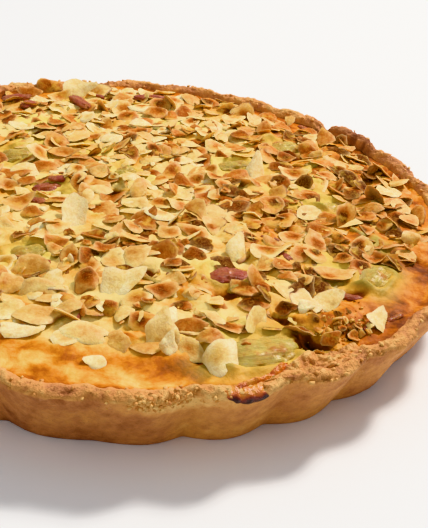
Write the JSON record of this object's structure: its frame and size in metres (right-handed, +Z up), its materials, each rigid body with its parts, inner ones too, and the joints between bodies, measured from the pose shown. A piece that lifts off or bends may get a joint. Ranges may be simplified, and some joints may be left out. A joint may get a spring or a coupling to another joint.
{
  "type": "rhubarb almond tart",
  "caption": "Round whole sweet tart: a fluted baked pastry case filled with set custard, topped with flaked almonds and half-sunk rhubarb pieces.",
  "frame": {"origin": "centre of the underside, on the surface that the tart stands on", "axes": "+Z up through the tart, -Y towards the front, where the picture's camera stands"},
  "size_m": [0.2794, 0.2796, 0.0321],
  "materials": {
    "pastry": "matt, crumbly baked shortcrust pastry, lighter along the rim",
    "custard": "soft gloss, browned baked custard",
    "rhubarb_green": "wet, soft cooked stalk, yellow-green",
    "rhubarb_pink": "wet, soft cooked stalk, pink-red"
  },
  "bodies": {
    "root": {"crust": "pastry", "custard": "custard", "rhubarb_01": "rhubarb_green", "rhubarb_02": "rhubarb_green", "rhubarb_03": "rhubarb_green", "rhubarb_04": "rhubarb_green", "rhubarb_05": "rhubarb_green", "rhubarb_06": "rhubarb_green", "rhubarb_07": "rhubarb_pink", "rhubarb_08": "rhubarb_pink", "rhubarb_09": "rhubarb_green", "rhubarb_10": "rhubarb_pink", "rhubarb_11": "rhubarb_green", "rhubarb_12": "rhubarb_green", "rhubarb_13": "rhubarb_pink", "rhubarb_14": "rhubarb_green"}
  },
  "joints": []
}
